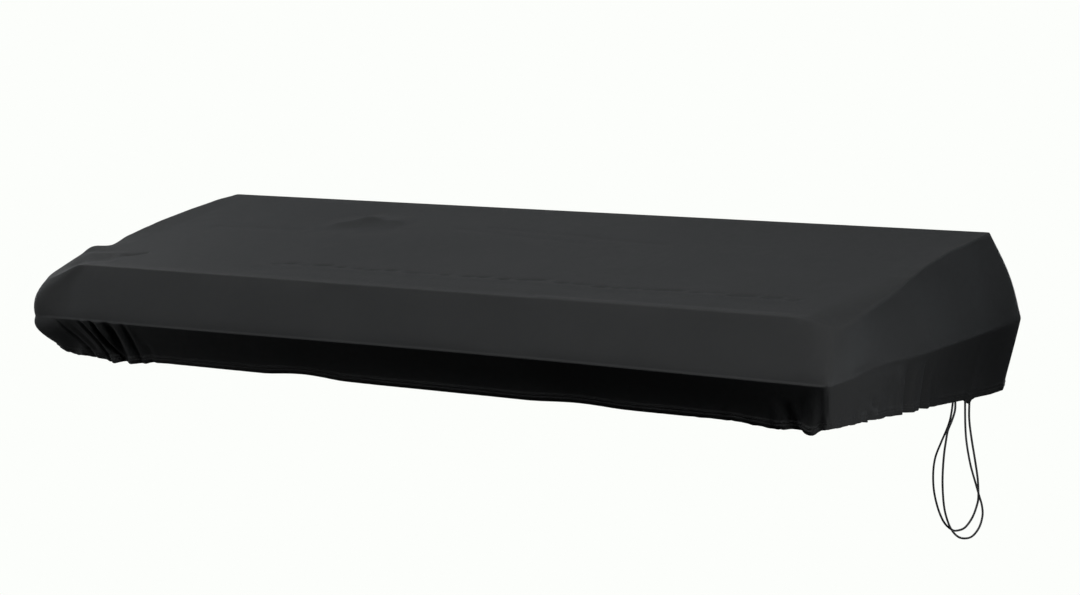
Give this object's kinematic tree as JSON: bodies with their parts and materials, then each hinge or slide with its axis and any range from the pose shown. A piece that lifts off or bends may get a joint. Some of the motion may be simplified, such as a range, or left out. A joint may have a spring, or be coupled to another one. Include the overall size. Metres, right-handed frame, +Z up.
{
  "type": "keyboard dust cover",
  "caption": "Fitted stretch dust cover for a musical keyboard: sloping top, tucked-in gathered hem and thin elastic cord loops hanging at one end.",
  "frame": {"origin": "middle of the inner face of the top, where the covered instrument bears", "axes": "+X along the length towards the end with the cord loops, +Y from the front edge to the back, +Z up"},
  "size_m": [1.0286, 0.4008, 0.3074],
  "materials": {
    "stretch_cloth": "matt black stretch knit with a faint sheen",
    "elastic_cord": "braided black elastic cord"
  },
  "bodies": {
    "root": {"cover": "stretch_cloth", "cord_loop_short": "elastic_cord", "cord_loop_long": "elastic_cord"}
  },
  "joints": []
}
